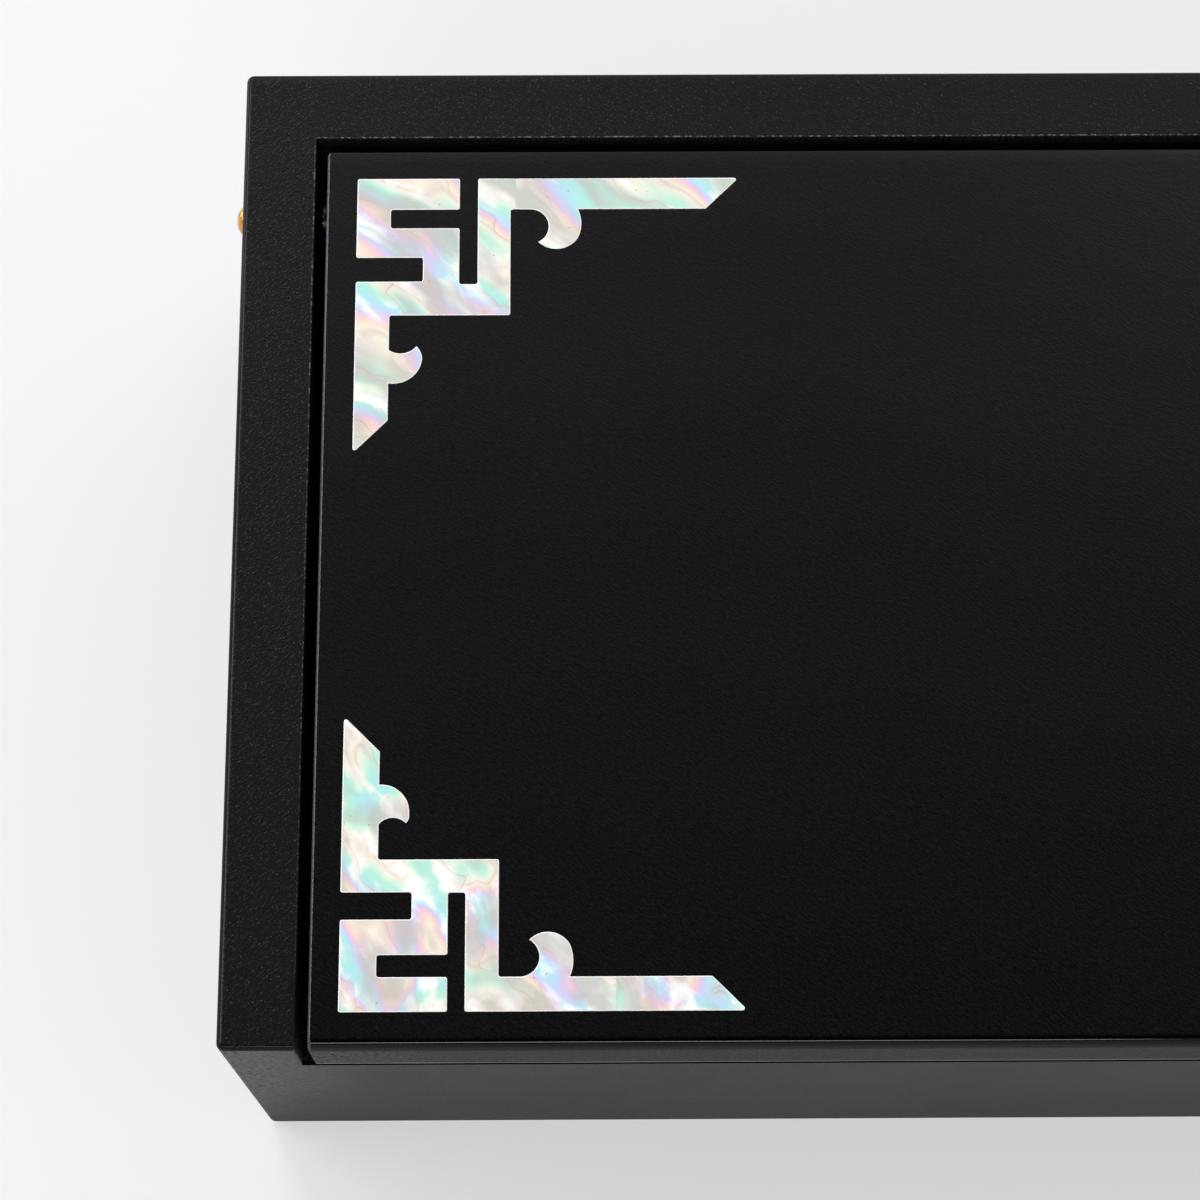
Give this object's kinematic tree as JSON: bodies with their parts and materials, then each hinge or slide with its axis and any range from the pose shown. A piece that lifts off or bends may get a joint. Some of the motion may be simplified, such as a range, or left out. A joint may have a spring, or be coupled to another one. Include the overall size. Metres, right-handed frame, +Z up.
{
  "type": "mother-of-pearl inlaid box",
  "caption": "Black lacquered wooden box with a flush lid that pivots on brass pins between the side boards, mother-of-pearl fret corners let into the lid, velvet-lined inside.",
  "frame": {"origin": "on the table under the middle of the box, centre of the base felt's lower face", "axes": "+X to the box's right along its length, +Y to the back where the lid pivots, +Z up"},
  "size_m": [0.304, 0.2, 0.1001],
  "materials": {
    "rail_lacquer": "black satin lacquer with fine orange peel on hardwood boards",
    "lid_lacquer": "black satin lacquer with a fine leathery grain",
    "mother_of_pearl": "polished nacre with pastel iridescence",
    "brass": "polished, lacquered",
    "velvet": "deep red velvet on card",
    "felt": "black wool felt"
  },
  "bodies": {
    "box": {"side_left": "rail_lacquer", "side_right": "rail_lacquer", "back_wall": "rail_lacquer", "front_wall": "rail_lacquer", "base_panel": "rail_lacquer", "base_felt": "felt", "lining_floor": "velvet", "lining_back": "velvet", "lining_front": "velvet", "lining_left": "velvet", "lining_right": "velvet", "rest_pad_left": "felt", "rest_pad_right": "felt", "pivot_pin_left": "brass", "pivot_pin_right": "brass", "side_bush_left": "brass", "side_bush_right": "brass"},
    "lid": {"lid_panel": "lid_lacquer", "lid_bush_left": "brass", "lid_bush_right": "brass", "lining_lid": "velvet", "shell_back_left_key": "mother_of_pearl", "shell_back_left_arm": "mother_of_pearl", "shell_back_right_key": "mother_of_pearl", "shell_back_right_arm": "mother_of_pearl", "shell_front_left_key": "mother_of_pearl", "shell_front_left_arm": "mother_of_pearl", "shell_front_right_key": "mother_of_pearl", "shell_front_right_arm": "mother_of_pearl"}
  },
  "joints": [
    {"name": "lid_pivot", "type": "hinge", "parent": "box", "child": "lid", "pos_m": [0, 0.071, 0.0914], "axis": [-1, 0, 0], "range_deg": [0, 117.5]}
  ]
}
